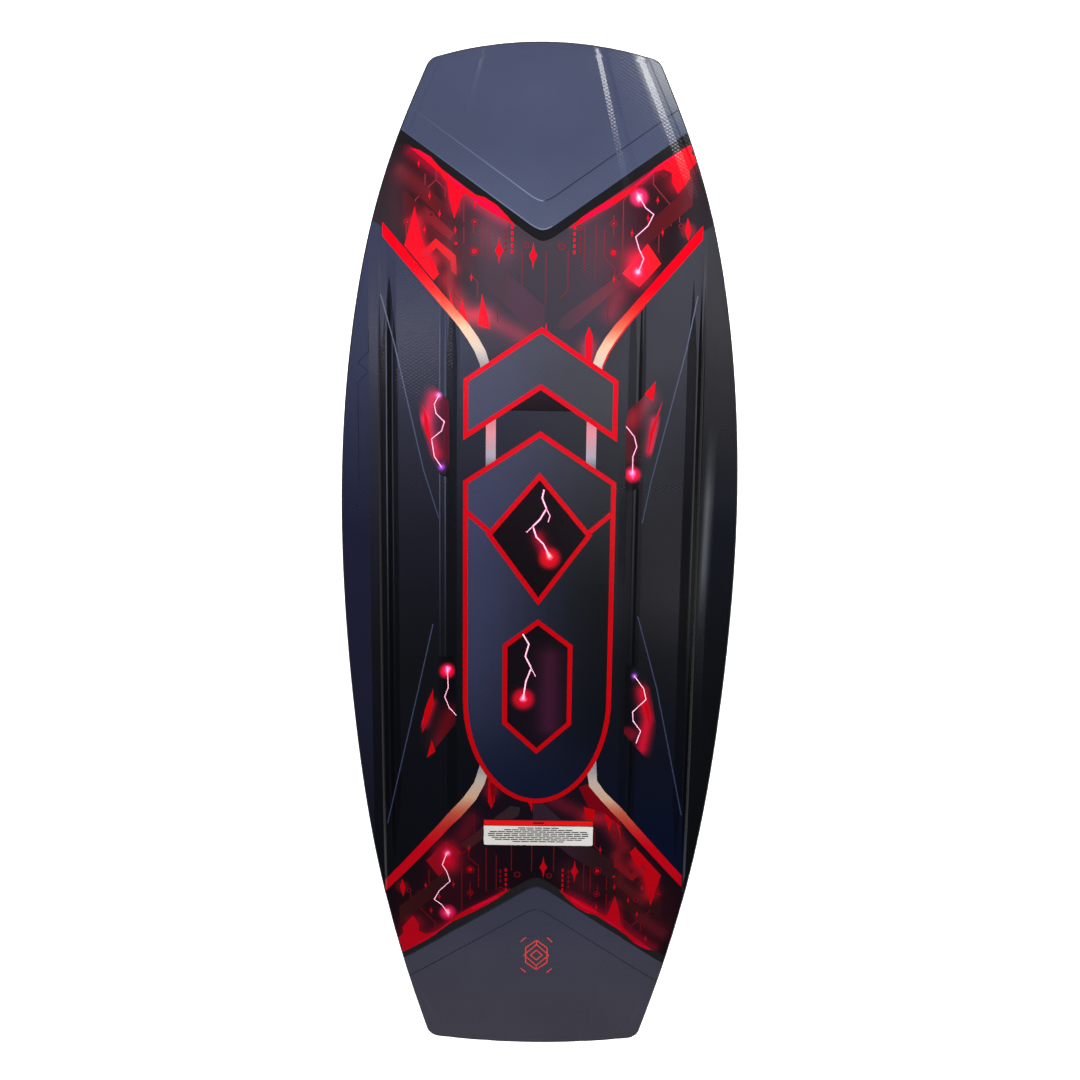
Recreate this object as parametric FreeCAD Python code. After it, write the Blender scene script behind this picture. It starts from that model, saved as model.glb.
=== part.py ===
"""Wakeboard: a moulded sandwich board with a channelled base, lying base up on its two tips.

X is across the board, +Y points to the nose and +Z points out of the base. The origin is on
the ground under the middle of the board. All lengths are in millimetres.
"""

import FreeCAD, Part
import math
import os

from FreeCAD import Vector

# Plan shape
LENGTH = 1188.0
HALF_LENGTH = LENGTH / 2
NOSE_CORNER = (125.0, 575.2)      # where the side line would meet the nose arc
TAIL_CORNER = (129.7, -585.4)     # the same at the tail, which is cut straighter
CORNER_RADIUS = 17.0
SIDE_LINE = [                     # half width and distance from the middle, tail to nose
    (162.2, -455.0),
    (193.4, -292.0),
    (211.0, -140.0),
    (220.0, 0.0),
    (220.4, 130.0),
    (209.9, 267.0),
    (187.6, 395.0),
    (155.5, 501.0),
]

# Rocker and thickness
ROCKER = 57.0                     # how far each tip curves away from the base's middle
ROCKER_POWER = 2.6
NOSE_CROWN = 3.2                  # how far the corners of each tip curl under
TAIL_CROWN = 1.8
CROWN_START = 400.0
MIDDLE_THICKNESS = 20.0
RAIL_THICKNESS = 11.5
TIP_THICKNESS = 9.0
RAIL_ROUNDING = 86.0              # width over which the deck rounds down to a rail

# Channels in the base, as distances from the centre line
INNER_CHANNEL = (89.0, 97.0, 103.5, 110.0)
OUTER_CHANNEL = (159.0, 169.5, 176.0, 178.5)
RAIL_CREASE = 189.0
CHANNEL_DEPTH = 2.6
CHANNEL_TIP_DEPTH = 0.7
RAIL_BEVEL_SLOPE = 0.125
TIP_BEVEL_SLOPE = 0.05
CHANNEL_FADE = (290.0, 470.0)     # distances from the middle between which the channels fade
TAPER_START = 430.0               # beyond here the channels lean in towards the tip
TIP_TAPER = 0.59

# Layers
BASE_SHEET = 1.0
BASE_LAMINATE = 0.9
DECK_SHEET = 0.8
DECK_LAMINATE = 0.9
FOOT_PATCH = 0.6
BASE_INSET = 1.6                  # rim of the rail that shows round the base sheet
DECK_INSET = 7.0
CORE_INSET = 10.0
RAIL_SPLIT = 540.0                # where the side rails meet the tip rails

# Core strips, as distances from the centre line
STRINGER = (22.0, 26.0)
INSERT_STRIP = (58.0, 94.5)
OUTER_SPLIT = 142.0

# Binding inserts
ROW_SPACING = 152.4
HOLE_PITCH = 25.4
HOLES_PER_ROW = 6
STANCE = 500.0
BLOCK_LENGTH = 176.0
BLOCK_HEIGHT = 13.0
PATCH_SIZE = (250.0, 220.0)
INSERT_RADIUS = 5.5
INSERT_HEIGHT = 11.5
INSERT_RECESS = 0.3
FLANGE_RADIUS = 9.5
FLANGE_THICKNESS = 1.5
FLANGE_LIFT = 3.2
BORE_RADIUS = 2.5
BORE_DEPTH = 10.0
SHEET_HOLE_RADIUS = 6.5

# Stickers on the base
STICKER = 0.2
LABEL_SIZE = (130.0, 34.0)
LABEL_PLACE = (3.5, -295.0)
EMBLEM_SIZE = (40.0, 54.0)
EMBLEM_PLACE = (3.0, -461.0)

TIP_RAILS = ("nose_rail", "tail_rail")
STATIONS = (0, 100, 200, 290, 360, 420, 470, 510, 550, 600)
SIDE_STEPS = 20                   # spans of the side line's parallel curves
BEYOND = 245.0                    # half width of the blanks that the layers are cut from


def blend(value, start, end):
    """0 before start, 1 after end, and a smooth ramp between."""
    t = min(max((value - start) / (end - start), 0.0), 1.0)
    return t * t * (3 - 2 * t)


def rocker(y):
    return ROCKER * (1 - abs(y / HALF_LENGTH) ** ROCKER_POWER)


def crown(x, y):
    most = NOSE_CROWN if y > 0 else TAIL_CROWN
    return most * blend(abs(y), CROWN_START, HALF_LENGTH) * (x / NOSE_CORNER[0]) ** 2


def taper(y):
    """How far the channels lean in at this distance from the middle."""
    away = max(abs(y) - TAPER_START, 0.0) / (HALF_LENGTH - TAPER_START)
    return 1 - (1 - TIP_TAPER) * away


def side_points():
    return [TAIL_CORNER] + SIDE_LINE + [NOSE_CORNER]


def half_width(y):
    """The side line's distance from the centre line, between the points that define it."""
    points = side_points()
    for (x0, y0), (x1, y1) in zip(points, points[1:]):
        if y <= y1:
            break
    return x0 + (x1 - x0) * (y - y0) / (y1 - y0)


def base_section(y):
    """Points of the base surface across the board, from the left edge to the right."""
    fade = blend(abs(y), *CHANNEL_FADE)
    depth = CHANNEL_DEPTH + (CHANNEL_TIP_DEPTH - CHANNEL_DEPTH) * fade
    slope = RAIL_BEVEL_SLOPE + (TIP_BEVEL_SLOPE - RAIL_BEVEL_SLOPE) * fade
    drops = []
    for top, floor, rise, end in (INNER_CHANNEL, OUTER_CHANNEL):
        drops += [(top, 0.0), (floor, depth), (rise, depth), (end, 0.0)]
    lean = taper(y)
    half = [(x * lean, rocker(y) - crown(x * lean, y) - drop) for x, drop in drops]
    crease = RAIL_CREASE * lean
    half.append((crease, rocker(y) - crown(crease, y)))
    half.append((BEYOND, rocker(y) - crown(crease, y) - slope * (BEYOND - crease)))
    right = [Vector(x, y, z) for x, z in half]
    left = [Vector(-x, y, z) for x, z in reversed(half)]
    return left + right


def thickness(x, y):
    along = blend(abs(y), 60.0, 560.0)
    middle = MIDDLE_THICKNESS + (TIP_THICKNESS - MIDDLE_THICKNESS) * along
    rail = RAIL_THICKNESS + (TIP_THICKNESS - RAIL_THICKNESS) * along
    return rail + (middle - rail) * blend(half_width(y) - abs(x), 6.0, RAIL_ROUNDING)


def deck_height(x, y):
    return rocker(y) - crown(x, y) - thickness(x, y)


def across(y):
    """Places across the board, closest where the deck rounds down to the rails."""
    edge = half_width(y)
    flat = edge - RAIL_ROUNDING
    half = [0.0, flat / 2, flat, flat + 26, flat + 52, edge - 8, edge + 12, BEYOND]
    return [-x for x in reversed(half[1:])] + half


def deck_points(y):
    """Points of the deck surface across the board."""
    return [Vector(x, y, deck_height(x, y)) for x in across(y)]


def smooth(points):
    curve = Part.BSplineCurve()
    curve.interpolate(points)
    return curve


def stations():
    return [-y for y in reversed(STATIONS[1:])] + list(STATIONS)


def under_base():
    """Everything below the base surface."""
    wires = []
    for y in stations():
        top = base_section(y)
        floor = [Vector(BEYOND, y, -80), Vector(-BEYOND, y, -80)]
        wires.append(Part.makePolygon(top + floor + [top[0]]))
    return Part.makeLoft(wires, True, False)


def over_deck():
    """Everything above the deck surface."""
    surface = Part.BSplineSurface()
    surface.interpolate([deck_points(y) for y in stations()])
    return surface.toShape().extrude(Vector(0, 0, 160))


def moved(shape, height):
    copy = shape.copy()
    copy.translate(Vector(0, 0, height))
    return copy


def side_curve():
    """The right side line from the tail to the nose."""
    return smooth([Vector(x, y, 0) for x, y in side_points()])


def inward(curve, t, distance):
    """The point this far inside the side line."""
    ahead = curve.tangent(t)[0]
    return curve.value(t) + Vector(-ahead.y, ahead.x, 0) * distance


def tip_circle(corner):
    """The centre and radius of a tip's arc, through the corners and the board's end."""
    end = math.copysign(HALF_LENGTH, corner[1])
    drop = abs(end - corner[1])
    radius = (corner[0] ** 2 + drop ** 2) / (2 * drop)
    return Vector(0, end - math.copysign(radius, end), 0), radius


def corner_start(curve, tip, low, high):
    """Where on the side line the rounded corner starts, by halving between low and high."""
    centre, radius = tip
    for _ in range(40):
        middle = (low + high) / 2
        gap = (inward(curve, middle, CORNER_RADIUS) - centre).Length - (radius - CORNER_RADIUS)
        low, high = (middle, high) if gap < 0 else (low, middle)
    return low


def corner_arc(curve, t, tip, inset):
    """The rounded corner as an arc, from the side line to the tip's arc."""
    centre = inward(curve, t, CORNER_RADIUS)
    radius = CORNER_RADIUS - inset
    from_side = (curve.value(t) - centre).normalize()
    to_tip = (centre - tip[0]).normalize()
    halfway = (from_side + to_tip).normalize()
    points = [centre + way * radius for way in (from_side, halfway, to_tip)]
    return Part.Arc(*points), points[-1]


def outline(inset):
    """An upright prism of the board's plan, smaller by the inset all round."""
    curve = side_curve()
    first, last = curve.FirstParameter, curve.LastParameter
    nose, tail = tip_circle(NOSE_CORNER), tip_circle(TAIL_CORNER)
    middle = (first + last) / 2
    nose_t = corner_start(curve, nose, middle, last)
    tail_t = corner_start(curve, tail, middle, first)
    steps = [tail_t + (nose_t - tail_t) * i / SIDE_STEPS for i in range(SIDE_STEPS + 1)]
    side = smooth([inward(curve, t, inset) for t in steps]).toShape()
    nose_corner, nose_end = corner_arc(curve, nose_t, nose, inset)
    tail_corner, tail_end = corner_arc(curve, tail_t, tail, inset)
    right = [tail_corner.toShape(), side, nose_corner.toShape()]
    left = [edge.mirror(Vector(0, 0, 0), Vector(1, 0, 0)) for edge in right]
    tips = []
    for end, y in ((nose_end, HALF_LENGTH - inset), (tail_end, inset - HALF_LENGTH)):
        tips.append(Part.Arc(end, Vector(0, y, 0), Vector(-end.x, end.y, 0)).toShape())
    wire = Part.Wire(Part.__sortEdges__(right + left + tips))
    return moved(Part.Face(wire), -100).extrude(Vector(0, 0, 300))


def block(x0, x1, y0, y1, z0=-100.0, z1=200.0):
    return Part.makeBox(x1 - x0, y1 - y0, z1 - z0, Vector(x0, y0, z0))


def insert(x, y):
    """A closed brass insert with a flange, threaded from the deck side."""
    foot = Vector(x, y, deck_height(x, y) + INSERT_RECESS)
    body = Part.makeCylinder(INSERT_RADIUS, INSERT_HEIGHT, foot)
    flange = Part.makeCylinder(FLANGE_RADIUS, FLANGE_THICKNESS, foot + Vector(0, 0, FLANGE_LIFT))
    return body.fuse(flange).removeSplitter()


def insert_bore(x, y):
    foot = Vector(x, y, deck_height(x, y) + INSERT_RECESS)
    return Part.makeCylinder(BORE_RADIUS, BORE_DEPTH, foot)


def insert_places(foot, side):
    """The places of one row of inserts, for the foot (+1 nose, -1 tail) and the side."""
    first = foot * STANCE / 2 - HOLE_PITCH * (HOLES_PER_ROW - 1) / 2
    return [(side * ROW_SPACING / 2, first + HOLE_PITCH * i) for i in range(HOLES_PER_ROW)]


def all_places():
    return [place for foot in (1, -1) for side in (1, -1) for place in insert_places(foot, side)]


def sticker(size, place, base):
    x, y = place
    stamp = block(x - size[0] / 2, x + size[0] / 2, y - size[1] / 2, y + size[1] / 2)
    return stamp.common(moved(base, STICKER)).cut(base)


def make_rails(base, deck, total):
    """The cast rails round the edge, left open for the sheets and the core."""
    base_stack = outline(BASE_INSET).cut(moved(base, -BASE_SHEET - BASE_LAMINATE))
    deck_stack = outline(DECK_INSET).cut(moved(deck, DECK_SHEET + DECK_LAMINATE))
    ring = total.cut(outline(CORE_INSET)).cut(base_stack).cut(deck_stack)
    middle = ring.common(block(-300, 300, -RAIL_SPLIT, RAIL_SPLIT))
    return {
        "rail_left": middle.common(block(-300, 0, -700, 700)),
        "rail_right": middle.common(block(0, 300, -700, 700)),
        "nose_rail": ring.common(block(-300, 300, RAIL_SPLIT, 700)),
        "tail_rail": ring.common(block(-300, 300, -700, -RAIL_SPLIT)),
    }


def make_sheets(base, deck, total):
    """The printed base and deck sheets and the glass laminates behind them."""
    base_plan = total.common(outline(BASE_INSET))
    deck_plan = total.common(outline(DECK_INSET))
    base_back = moved(base, -BASE_SHEET)
    deck_back = moved(deck, DECK_SHEET)
    holes = [Part.makeCylinder(SHEET_HOLE_RADIUS, 30.0, Vector(x, y, deck_height(x, y) - 10))
             for x, y in all_places()]
    inserts = [insert(x, y) for x, y in all_places()]
    return {
        "base_sheet": base_plan.cut(base_back),
        "base_laminate": base_plan.common(base_back).cut(moved(base_back, -BASE_LAMINATE)),
        "deck_sheet": deck_plan.cut(deck_back).cut(holes),
        "deck_laminate": deck_plan.common(deck_back).cut(moved(deck_back, DECK_LAMINATE)).cut(inserts),
    }


def make_feet(core, deck_core):
    """For each foot a glass patch, and for each row a dense block with its brass inserts."""
    parts = {}
    patch_top = moved(deck_core, FOOT_PATCH)
    for foot, end in ((1, "nose"), (-1, "tail")):
        middle = foot * STANCE / 2
        wide, long = PATCH_SIZE
        area = block(-wide / 2, wide / 2, middle - long / 2, middle + long / 2)
        parts[end + "_foot_patch"] = core.common(area).cut(patch_top)
        for side, name in ((1, "right"), (-1, "left")):
            x0, x1 = sorted((side * INSERT_STRIP[0], side * INSERT_STRIP[1]))
            y0, y1 = middle - BLOCK_LENGTH / 2, middle + BLOCK_LENGTH / 2
            zone = core.common(patch_top).common(block(x0, x1, y0, y1))
            parts[f"{end}_insert_block_{name}"] = zone.cut(moved(deck_core, BLOCK_HEIGHT))
            row = [insert(x, y).cut(insert_bore(x, y)) for x, y in insert_places(foot, side)]
            parts[f"{end}_inserts_{name}"] = Part.makeCompound(row)
    return parts


def make_core(core, taken):
    """Wooden strips side by side, with a stringer each side of the centre strip."""
    rest = core.cut(taken)
    splits = (STRINGER[0], STRINGER[1], INSERT_STRIP[0], INSERT_STRIP[1], OUTER_SPLIT, BEYOND)
    names = ("stringer", "core_inner", "core_insert_strip", "core_channel_strip", "core_outer")
    parts = {"core_centre": rest.common(block(-STRINGER[0], STRINGER[0], -700, 700))}
    for name, x0, x1 in zip(names, splits, splits[1:]):
        parts[name + "_right"] = rest.common(block(x0, x1, -700, 700))
        parts[name + "_left"] = rest.common(block(-x1, -x0, -700, 700))
    return parts


def make_board():
    base = under_base()
    deck = over_deck()
    total = outline(0.0).common(base).common(deck)
    parts = make_sheets(base, deck, total)
    parts.update(make_rails(base, deck, total))
    base_core = moved(base, -BASE_SHEET - BASE_LAMINATE)
    deck_core = moved(deck, DECK_SHEET + DECK_LAMINATE)
    core = outline(CORE_INSET).common(base_core).common(deck_core)
    feet = make_feet(core, deck_core)
    blocks = [shape for name, shape in feet.items() if "inserts" not in name]
    parts.update(make_core(core, blocks))
    solid_inserts = [insert(x, y) for x, y in all_places()]
    for name, shape in feet.items():
        parts[name] = shape if "inserts" in name else shape.cut(solid_inserts)
    parts["base_label"] = sticker(LABEL_SIZE, LABEL_PLACE, base)
    parts["tail_emblem"] = sticker(EMBLEM_SIZE, EMBLEM_PLACE, base)
    return parts


def main():
    os.makedirs("parts", exist_ok=True)
    parts = make_board()
    lowest = min(parts[name].optimalBoundingBox(False, False).ZMin for name in TIP_RAILS)
    for name, shape in sorted(parts.items()):
        solids = moved(Part.makeCompound(shape.Solids), -lowest)
        solids.exportStep(f"parts/{name}.step")
        print(name, len(solids.Solids), round(solids.Volume / 1000, 2), "cm3", solids.isValid())


main()
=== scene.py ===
"""Looks of the wakeboard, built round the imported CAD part: base up, nose along +Y, in metres.

Shapes are worked out in millimetres, from the same dimensions as the CAD part, and turned
into metres when a mesh is made. Print colours are written as 0 to 255.
"""

import math

import bpy
import numpy as np
from mathutils import Matrix, Vector
from mathutils.geometry import delaunay_2d_cdt


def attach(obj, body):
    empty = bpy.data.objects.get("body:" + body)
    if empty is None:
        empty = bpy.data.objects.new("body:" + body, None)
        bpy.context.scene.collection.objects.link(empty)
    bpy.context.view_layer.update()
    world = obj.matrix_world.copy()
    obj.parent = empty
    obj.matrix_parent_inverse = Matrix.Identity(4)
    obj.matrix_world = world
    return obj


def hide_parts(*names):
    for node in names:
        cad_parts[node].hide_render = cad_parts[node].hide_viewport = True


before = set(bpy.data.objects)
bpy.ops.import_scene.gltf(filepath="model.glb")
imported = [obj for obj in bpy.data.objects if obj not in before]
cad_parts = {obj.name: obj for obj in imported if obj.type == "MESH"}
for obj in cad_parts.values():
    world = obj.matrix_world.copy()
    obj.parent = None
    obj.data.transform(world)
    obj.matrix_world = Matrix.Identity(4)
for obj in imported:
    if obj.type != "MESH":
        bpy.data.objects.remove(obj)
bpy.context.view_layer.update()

# ---- board shape, as in the CAD part

HALF_LENGTH = 594.0
LIFT = 9.04                        # height of the base's end points above the ground
ROCKER = 57.0                      # height of the middle above the end points
NOSE_CORNER = (125.0, 575.2)
TAIL_CORNER = (129.7, -585.4)
CORNER_RADIUS = 17.0
SIDE = np.array([TAIL_CORNER, (162.2, -455), (193.4, -292), (211, -140), (220, 0), (220.4, 130),
                 (209.9, 267), (187.6, 395), (155.5, 501), NOSE_CORNER])
RIM = 1.6                          # rail that shows round the base sheet
CREASE = 189.0                     # where the side panels begin to slope
CHANNELS = [89, 97, 103.5, 110, 159, 169.5, 176, 178.5]     # where each channel wall starts or ends
CHANNEL_DEPTH = (2.6, 0.7)         # this and the next three: at the middle and towards the tips
PANEL_SLOPE = (0.125, 0.05)
THICKNESS = (20, 9)
RAIL_THICKNESS = (11.5, 9)
TAPER_START = 430.0                # from here to the tips the channels run inward,
TAPER_SHARE = 0.41                 # by this share of their distance from the middle


def smooth(value, start, end):
    """From 0 at the start to 1 at the end, without corners."""
    t = np.clip((value - start) / (end - start), 0, 1)
    return t * t * (3 - 2 * t)


def between(ends, share):
    return ends[0] + (ends[1] - ends[0]) * share


def rocker(y):
    """Height of the base along its middle line."""
    return LIFT + ROCKER * (1 - np.abs(y / HALF_LENGTH) ** 2.6)


def crown(x, y):
    """How far the tips' sides droop."""
    return np.where(y > 0, 3.2, 1.8) * smooth(np.abs(y), 400, HALF_LENGTH) * (x / 125) ** 2


def taper(y):
    """How much of their distance from the middle the channels keep."""
    return 1 - TAPER_SHARE * np.maximum(np.abs(y) - TAPER_START, 0) / (HALF_LENGTH - TAPER_START)


def base_height(x, y):
    fade = smooth(np.abs(y), 290, 470)
    across = np.abs(x) / taper(y)
    channel = np.interp(across, CHANNELS, [0, 1, 1, 0, 0, 1, 1, 0]) * between(CHANNEL_DEPTH, fade)
    edge = CREASE * taper(y)
    bevel = between(PANEL_SLOPE, fade) * np.maximum(np.abs(x) - edge, 0)
    return rocker(y) - crown(np.minimum(np.abs(x), edge), y) - channel - bevel


def deck_height(x, y):
    thinning = smooth(np.abs(y), 60, 560)
    middle, rail = between(THICKNESS, thinning), between(RAIL_THICKNESS, thinning)
    inside = np.interp(y, SIDE[:, 1], SIDE[:, 0]) - np.abs(x)
    return rocker(y) - crown(x, y) - rail - (middle - rail) * smooth(inside, 6, 86)


def spline(points, count):
    """Points along a natural cubic spline, and the unit directions there."""
    gaps = np.linalg.norm(np.diff(points, axis=0), axis=1)
    knots = np.concatenate([[0], np.cumsum(gaps)])
    n = len(points)
    a, b = np.eye(n), np.zeros((n, 2))
    for i in range(1, n - 1):
        h0, h1 = gaps[i - 1], gaps[i]
        a[i, i - 1:i + 2] = h0, 2 * (h0 + h1), h1
        b[i] = 6 * ((points[i + 1] - points[i]) / h1 - (points[i] - points[i - 1]) / h0)
    bend = np.linalg.solve(a, b)
    t = np.linspace(0, knots[-1], count)
    i = np.clip(np.searchsorted(knots, t) - 1, 0, n - 2)
    h, u = gaps[i][:, None], (t - knots[i])[:, None]
    slope = (points[i + 1] - points[i]) / h - h * (2 * bend[i] + bend[i + 1]) / 6
    at = points[i] + u * slope + u ** 2 * bend[i] / 2 + u ** 3 * (bend[i + 1] - bend[i]) / (6 * h)
    way = slope + u * bend[i] + u ** 2 * (bend[i + 1] - bend[i]) / (2 * h)
    return at, way / np.linalg.norm(way, axis=1)[:, None]


def arc(centre, radius, start, end, count):
    """Points of an arc; radius may be a pair, for an ellipse."""
    angles = np.radians(np.linspace(start, end, count))
    return np.array(centre) + np.array(radius) * np.stack([np.cos(angles), np.sin(angles)], 1)


def tip(corner):
    """Centre and radius of a tip's arc."""
    end = math.copysign(HALF_LENGTH, corner[1])
    drop = abs(end - corner[1])
    radius = (corner[0] ** 2 + drop ** 2) / (2 * drop)
    return np.array([0, end - math.copysign(radius, end)]), radius


def make_outline():
    """The board's edge anticlockwise from the tail's middle, and the outward directions."""
    at, way = spline(SIDE, 4000)
    inner = at + CORNER_RADIUS * np.stack([-way[:, 1], way[:, 0]], 1)
    cuts, corners = [], []
    for corner, half in ((TAIL_CORNER, slice(0, 2000)), (NOSE_CORNER, slice(2000, 4000))):
        centre, radius = tip(corner)
        gap = np.abs(np.linalg.norm(inner[half] - centre, axis=1) - radius + CORNER_RADIUS)
        cut = int(np.argmin(gap)) + half.start
        spot = inner[cut]
        side = math.degrees(math.atan2(*(at[cut] - spot)[::-1]))
        end = math.degrees(math.atan2(*(spot - centre)[::-1]))
        cuts.append(cut)
        corners.append((centre, radius, spot, side, end))
    (c0, r0, s0, side0, end0), (c1, r1, s1, side1, end1) = corners
    halves = [
        arc(c0, r0, -90, end0, 17)[:-1],
        arc(s0, CORNER_RADIUS, end0, side0, 11)[:-1],
        at[np.linspace(cuts[0], cuts[1], 130).astype(int)],
        arc(s1, CORNER_RADIUS, side1, end1, 11)[1:],
        arc(c1, r1, end1, 90, 17)[1:],
    ]
    right = np.concatenate(halves)
    ring = np.concatenate([right, (right * (-1, 1))[::-1][1:-1]])
    ahead = np.roll(ring, -1, 0) - np.roll(ring, 1, 0)
    out = np.stack([ahead[:, 1], -ahead[:, 0]], 1)
    return ring, out / np.linalg.norm(out, axis=1)[:, None]


EDGE, OUTWARD = make_outline()


def inset(distance):
    """The board's edge moved inward."""
    return EDGE - OUTWARD * distance


# ---- colours of the print


def screen(under, over, share):
    """Light added on light: over is a colour, share its strength at each point."""
    return 255 - (255 - under) * (1 - share[:, None] * np.array(over) / 255)


def mix(under, over, share):
    """Part of the way from one colour to another."""
    return under + (np.array(over) - under) * share[:, None]


def ramp(value, stops):
    """Colours by a value, between stops of (value, red, green, blue)."""
    stops = np.array(sorted(stops), float)
    return np.stack([np.interp(value, stops[:, 0], stops[:, i]) for i in (1, 2, 3)], 1)


def along(points, line):
    """Distance of each point to a line of several points."""
    best = np.full(len(points), 1e9)
    for a, b in zip(np.array(line[:-1], float), np.array(line[1:], float)):
        t = np.clip(((points - a) @ (b - a)) / ((b - a) @ (b - a)), 0, 1)
        best = np.minimum(best, np.linalg.norm(points - a - t[:, None] * (b - a), axis=1))
    return best


def flat(*colour):
    return lambda p: np.tile(np.array(colour, float), (len(p), 1))


def by_y(*stops):
    return lambda p: ramp(p[:, 1], stops)


def side_to_side(left, right):
    """A mix from one way of colouring at the left to another at the right."""
    return lambda p: left(p) + (right(p) - left(p)) * smooth(p[:, 0], -90, 90)[:, None]


TURN = 27.0                        # the tail's print is the nose's turned round, moved this far


def turned(points):
    return [(-x, TURN - y) for x, y in points]


# Soft light and haze in the print: line of points, reach, strength, colour. For the nose.
NOSE_HAZE = [
    ([(-125, 425), (-70, 385)], 46, 0.3, (58, 2, 10)),
    ([(115, 440), (85, 370)], 44, 0.38, (66, 2, 12)),
    ([(-158, 440), (-150, 400)], 16, 0.12, (80, 2, 10)),
    ([(-153, 455), (-128, 435)], 10, 0.5, (110, 14, 20)),
    ([(-128, 410), (-100, 385)], 9, 0.4, (120, 12, 18)),
    ([(-60, 392), (-40, 372)], 14, 0.3, (90, 20, 28)),
    ([(-144, 476), (-107, 448), (-70, 421), (-40, 404)], 7.5, 0.6, (160, 0, 25)),
    ([(-98, 436), (-96, 418)], 9, 0.7, (160, 0, 16)),
    ([(-138, 400), (-134, 378), (-120, 360)], 10, 0.85, (179, 4, 18)),
    ([(-106, 370), (-96, 352)], 8, 0.5, (160, 14, 18)),
    ([(-90, 302), (-66, 302)], 11, 0.75, (180, 8, 19)),
    ([(-58, 300), (-20, 280)], 10, 0.5, (136, 8, 19)),
    ([(36, 404), (75, 430), (112, 452), (150, 478)], 7.5, 0.55, (160, 0, 25)),
    ([(152, 466), (146, 446)], 13, 0.7, (171, 4, 16)),
    ([(104, 430)], 10, 1.0, (204, 10, 60)),
    ([(104, 430)], 2.6, 1.0, (255, 220, 255)),
    ([(104, 362), (104, 350)], 15, 1.0, (195, 0, 22)),
    ([(104, 351)], 3, 1.0, (220, 180, 255)),
    ([(158, 395)], 9, 0.45, (152, 6, 9)),
    ([(84, 324), (76, 306)], 11, 0.45, (136, 4, 16)),
    ([(52, 270), (50, 250)], 9, 0.65, (176, 6, 16)),
    ([(-105, 340), (-92, 318)], 10, 0.6, (160, 10, 16)),
]

# The same for the lit patches beside the middle and for the windows of the motif.
PATCH_HAZE = [
    ([(-118, 215), (-126, 190)], 8, 0.8, (180, 0, 22)),
    ([(-126, 190), (-114, 150)], 6, 0.75, (180, 0, 25)),
    ([(-112, 216)], 3, 1.0, (220, 110, 220)),
    ([(-109, 137)], 3.6, 1.0, (150, 50, 220)),
    ([(-104, 205), (-102, 150)], 12, 0.5, (110, 2, 24)),
    ([(98, 200), (99, 150)], 10, 0.5, (100, 12, 18)),
    ([(103, 131)], 9, 1.0, (200, 0, 37)),
    ([(103, 132)], 2.6, 1.0, (220, 170, 255)),
    ([(126, 190), (122, 158)], 6, 0.8, (180, 0, 25)),
    ([(118, 215), (102, 190)], 10, 0.6, (120, 6, 14)),
    ([(-103, -97)], 9, 1.0, (200, 0, 34)),
    ([(-103, -95)], 2.6, 1.0, (220, 170, 255)),
    ([(-122, -135), (-130, -160)], 6, 0.85, (176, 0, 22)),
    ([(-100, -150), (-112, -185)], 12, 0.5, (130, 2, 14)),
    ([(111, -100)], 3, 1.0, (170, 70, 220)),
    ([(120, -118), (128, -150), (122, -188)], 8, 0.85, (180, 0, 19)),
    ([(106, -170)], 9, 0.5, (152, 2, 19)),
    ([(12, 36)], 12.5, 1.0, (172, 0, 14)),
    ([(-1, 60), (4, 48)], 7, 0.8, (150, 0, 22)),
    ([(12, 38)], 2.2, 1.0, (255, 220, 215)),
    ([(-16, -129)], 13, 1.0, (160, 0, 14)),
    ([(-16, -129)], 2.2, 1.0, (235, 200, 255)),
    ([(14, -80), (14, -160)], 14, 0.8, (40, 8, 22)),
]
TAIL_HAZE = [(turned(line), reach, strength * 0.75, over) for line, reach, strength, over in NOSE_HAZE]
HAZE = NOSE_HAZE + TAIL_HAZE + PATCH_HAZE


def glowing(p, colour):
    """The haze over a ground; round glows of some size have a firmer edge."""
    for line, reach, strength, over in HAZE:
        line = line * 2 if len(line) == 1 else line
        near = np.abs(p - np.mean(line, 0)).max(1) < 3 * reach + 120         # the rest stays as it is
        gap = along(p[near], line) if line[0] != line[1] else np.linalg.norm(p[near] - line[0], axis=1)
        fall = 2 if line[0] != line[1] or reach < 5 else 6
        colour[near] = screen(colour[near], over, strength * np.exp(-(gap / reach) ** fall))
    return colour


def tech(p):
    """The dark ground of the lit areas with all of its haze."""
    ground = ramp(p[:, 1], [(500, 34, 28, 34), (380, 50, 46, 54), (270, 48, 45, 55), (200, 22, 14, 20),
                            (0, 10, 6, 10), (-230, 12, 6, 16), (-340, 8, 3, 8), (-460, 14, 3, 8)])
    out = np.abs(p[:, 0])
    edge = smooth(out, 50, 130) * (1 - 0.5 * smooth(out, 138, 162)) * smooth(p[:, 1], 250, 340)
    return glowing(p, ground * (1 - 0.62 * edge[:, None]))


def patch(p):
    """The haze over the side panel, a little darker near the channel."""
    return glowing(p, side_panel(p) * (0.45 + 0.55 * smooth(np.abs(p[:, 0]), 104, 118))[:, None])


def lit(paint):
    """A print over the haze, which shows where it is the brighter; half as bright at the tail."""
    def colour(p):
        tail = p[:, 1:] < 0
        own = paint(np.where(tail, (0, TURN) - p, p)) * np.where(tail, 0.5, 1.0)
        return np.maximum(tech(p), own)
    return colour


def by_x(*stops):
    return lambda p: ramp(p[:, 0], stops)


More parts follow.
